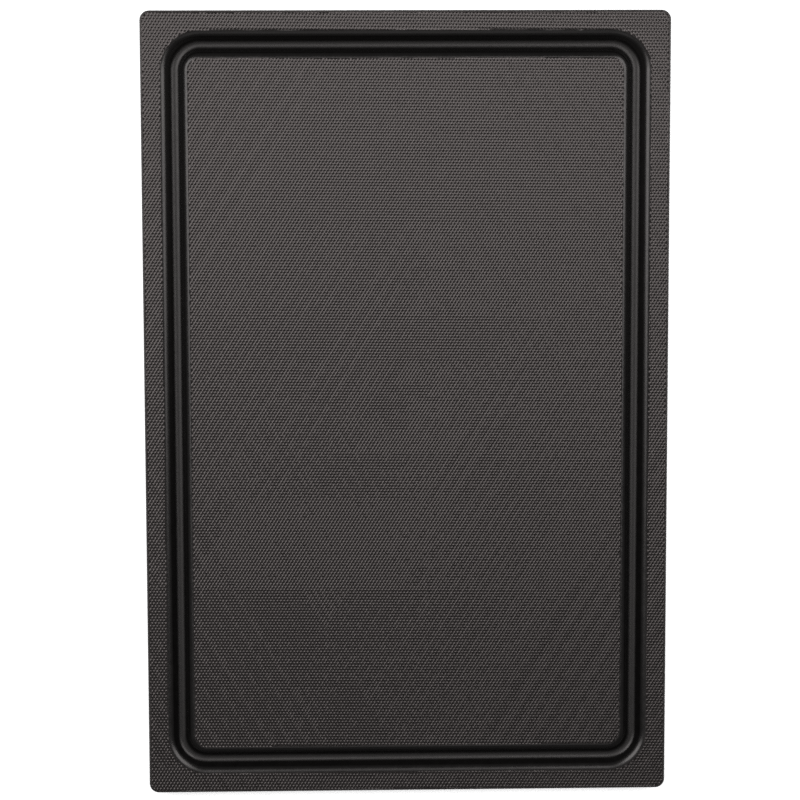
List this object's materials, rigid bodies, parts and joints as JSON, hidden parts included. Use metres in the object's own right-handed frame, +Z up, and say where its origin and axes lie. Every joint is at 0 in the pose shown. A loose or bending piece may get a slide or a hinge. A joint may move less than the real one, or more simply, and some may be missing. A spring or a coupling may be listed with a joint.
{
  "type": "cutting board",
  "caption": "Black rectangular cutting board, one slab of textured polyethylene with rounded edges and a juice groove all the way round the cutting face.",
  "frame": {"origin": "centre of the underside, on the surface that the board lies on", "axes": "+Z up out of the grooved cutting face, +Y along the long side, +X along the short side"},
  "size_m": [0.3048, 0.4572, 0.0127],
  "materials": {
    "polyethylene": "satin black, pressed grain on the faces, smooth in the groove"
  },
  "bodies": {
    "root": {"board": "polyethylene"}
  },
  "joints": []
}
